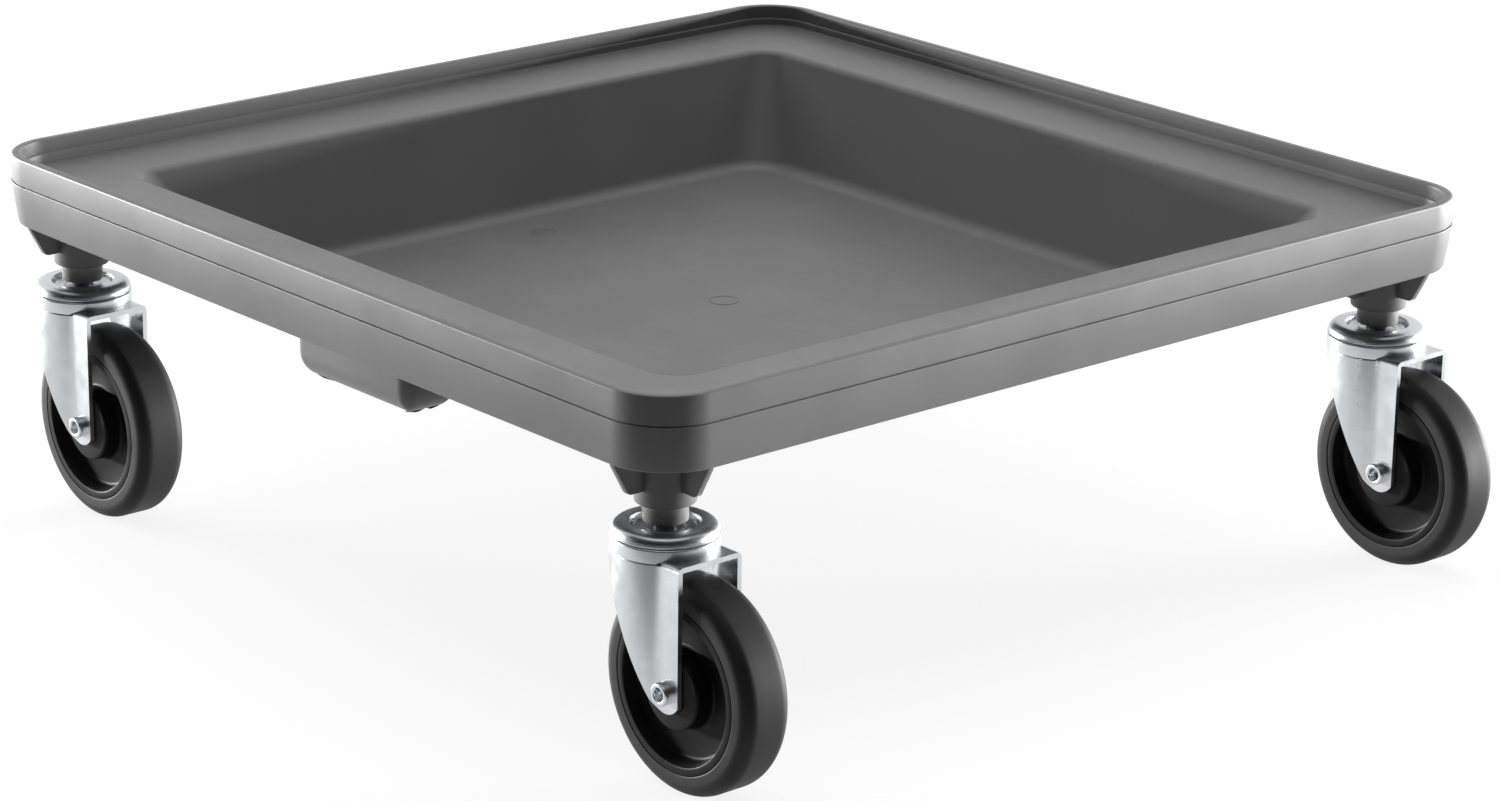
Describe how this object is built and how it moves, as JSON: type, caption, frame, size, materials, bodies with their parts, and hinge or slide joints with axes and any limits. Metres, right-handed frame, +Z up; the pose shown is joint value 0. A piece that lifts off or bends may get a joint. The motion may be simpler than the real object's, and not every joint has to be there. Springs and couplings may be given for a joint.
{
  "type": "rack dolly",
  "caption": "Square moulded plastic dolly with a raised rim, a ledge for a rack and a deep basin, carried on swivel stem casters with hard rubber tyres.",
  "frame": {"origin": "on the floor under the centre of the tray", "axes": "+Z up; +X the way the wheels roll at rest; +Y across them; the closed housing hangs under the -Y side"},
  "size_m": [0.6252, 0.546, 0.1927],
  "materials": {
    "tray": "satin moulded polypropylene, mid grey",
    "nylon": "translucent natural nylon",
    "steel": "bright steel",
    "zinc": "bright zinc plate on pressed steel",
    "wheel_core": "black moulded polypropylene",
    "tyre": "dark grey hard rubber, satin"
  },
  "bodies": {
    "tray": {"tray": "tray", "front_left_sleeve": "nylon", "front_left_stem": "steel", "front_left_snap_ring": "steel", "front_left_cap": "zinc", "front_left_lower_race": "zinc", "front_right_sleeve": "nylon", "front_right_stem": "steel", "front_right_snap_ring": "steel", "front_right_cap": "zinc", "front_right_lower_race": "zinc", "rear_left_sleeve": "nylon", "rear_left_stem": "steel", "rear_left_snap_ring": "steel", "rear_left_cap": "zinc", "rear_left_lower_race": "zinc", "rear_right_sleeve": "nylon", "rear_right_stem": "steel", "rear_right_snap_ring": "steel", "rear_right_cap": "zinc", "rear_right_lower_race": "zinc"},
    "front_left_swivel": {"front_left_fork": "zinc", "front_left_upper_balls": "steel", "front_left_lower_balls": "steel", "front_left_axle": "zinc"},
    "front_left_wheel": {"front_left_wheel_core": "wheel_core", "front_left_tyre": "tyre", "front_left_bush": "steel"},
    "front_right_swivel": {"front_right_fork": "zinc", "front_right_upper_balls": "steel", "front_right_lower_balls": "steel", "front_right_axle": "zinc"},
    "front_right_wheel": {"front_right_wheel_core": "wheel_core", "front_right_tyre": "tyre", "front_right_bush": "steel"},
    "rear_left_swivel": {"rear_left_fork": "zinc", "rear_left_upper_balls": "steel", "rear_left_lower_balls": "steel", "rear_left_axle": "zinc"},
    "rear_left_wheel": {"rear_left_wheel_core": "wheel_core", "rear_left_tyre": "tyre", "rear_left_bush": "steel"},
    "rear_right_swivel": {"rear_right_fork": "zinc", "rear_right_upper_balls": "steel", "rear_right_lower_balls": "steel", "rear_right_axle": "zinc"},
    "rear_right_wheel": {"rear_right_wheel_core": "wheel_core", "rear_right_tyre": "tyre", "rear_right_bush": "steel"}
  },
  "joints": [
    {"name": "front_left_swivel_turn", "type": "hinge", "parent": "tray", "child": "front_left_swivel", "pos_m": [-0.2388, -0.2388, 0.1173], "axis": [0, 0, 1], "continuous": true},
    {"name": "front_left_wheel_roll", "type": "hinge", "parent": "front_left_swivel", "child": "front_left_wheel", "pos_m": [-0.2158, -0.2388, 0.0508], "axis": [0, 1, 0], "continuous": true},
    {"name": "front_right_swivel_turn", "type": "hinge", "parent": "tray", "child": "front_right_swivel", "pos_m": [0.2388, -0.2388, 0.1173], "axis": [0, 0, 1], "continuous": true},
    {"name": "front_right_wheel_roll", "type": "hinge", "parent": "front_right_swivel", "child": "front_right_wheel", "pos_m": [0.2618, -0.2388, 0.0508], "axis": [0, 1, 0], "continuous": true},
    {"name": "rear_left_swivel_turn", "type": "hinge", "parent": "tray", "child": "rear_left_swivel", "pos_m": [-0.2388, 0.2388, 0.1173], "axis": [0, 0, 1], "continuous": true},
    {"name": "rear_left_wheel_roll", "type": "hinge", "parent": "rear_left_swivel", "child": "rear_left_wheel", "pos_m": [-0.2618, 0.2388, 0.0508], "axis": [0, 1, 0], "continuous": true},
    {"name": "rear_right_swivel_turn", "type": "hinge", "parent": "tray", "child": "rear_right_swivel", "pos_m": [0.2388, 0.2388, 0.1173], "axis": [0, 0, 1], "continuous": true},
    {"name": "rear_right_wheel_roll", "type": "hinge", "parent": "rear_right_swivel", "child": "rear_right_wheel", "pos_m": [0.2618, 0.2388, 0.0508], "axis": [0, 1, 0], "continuous": true}
  ]
}
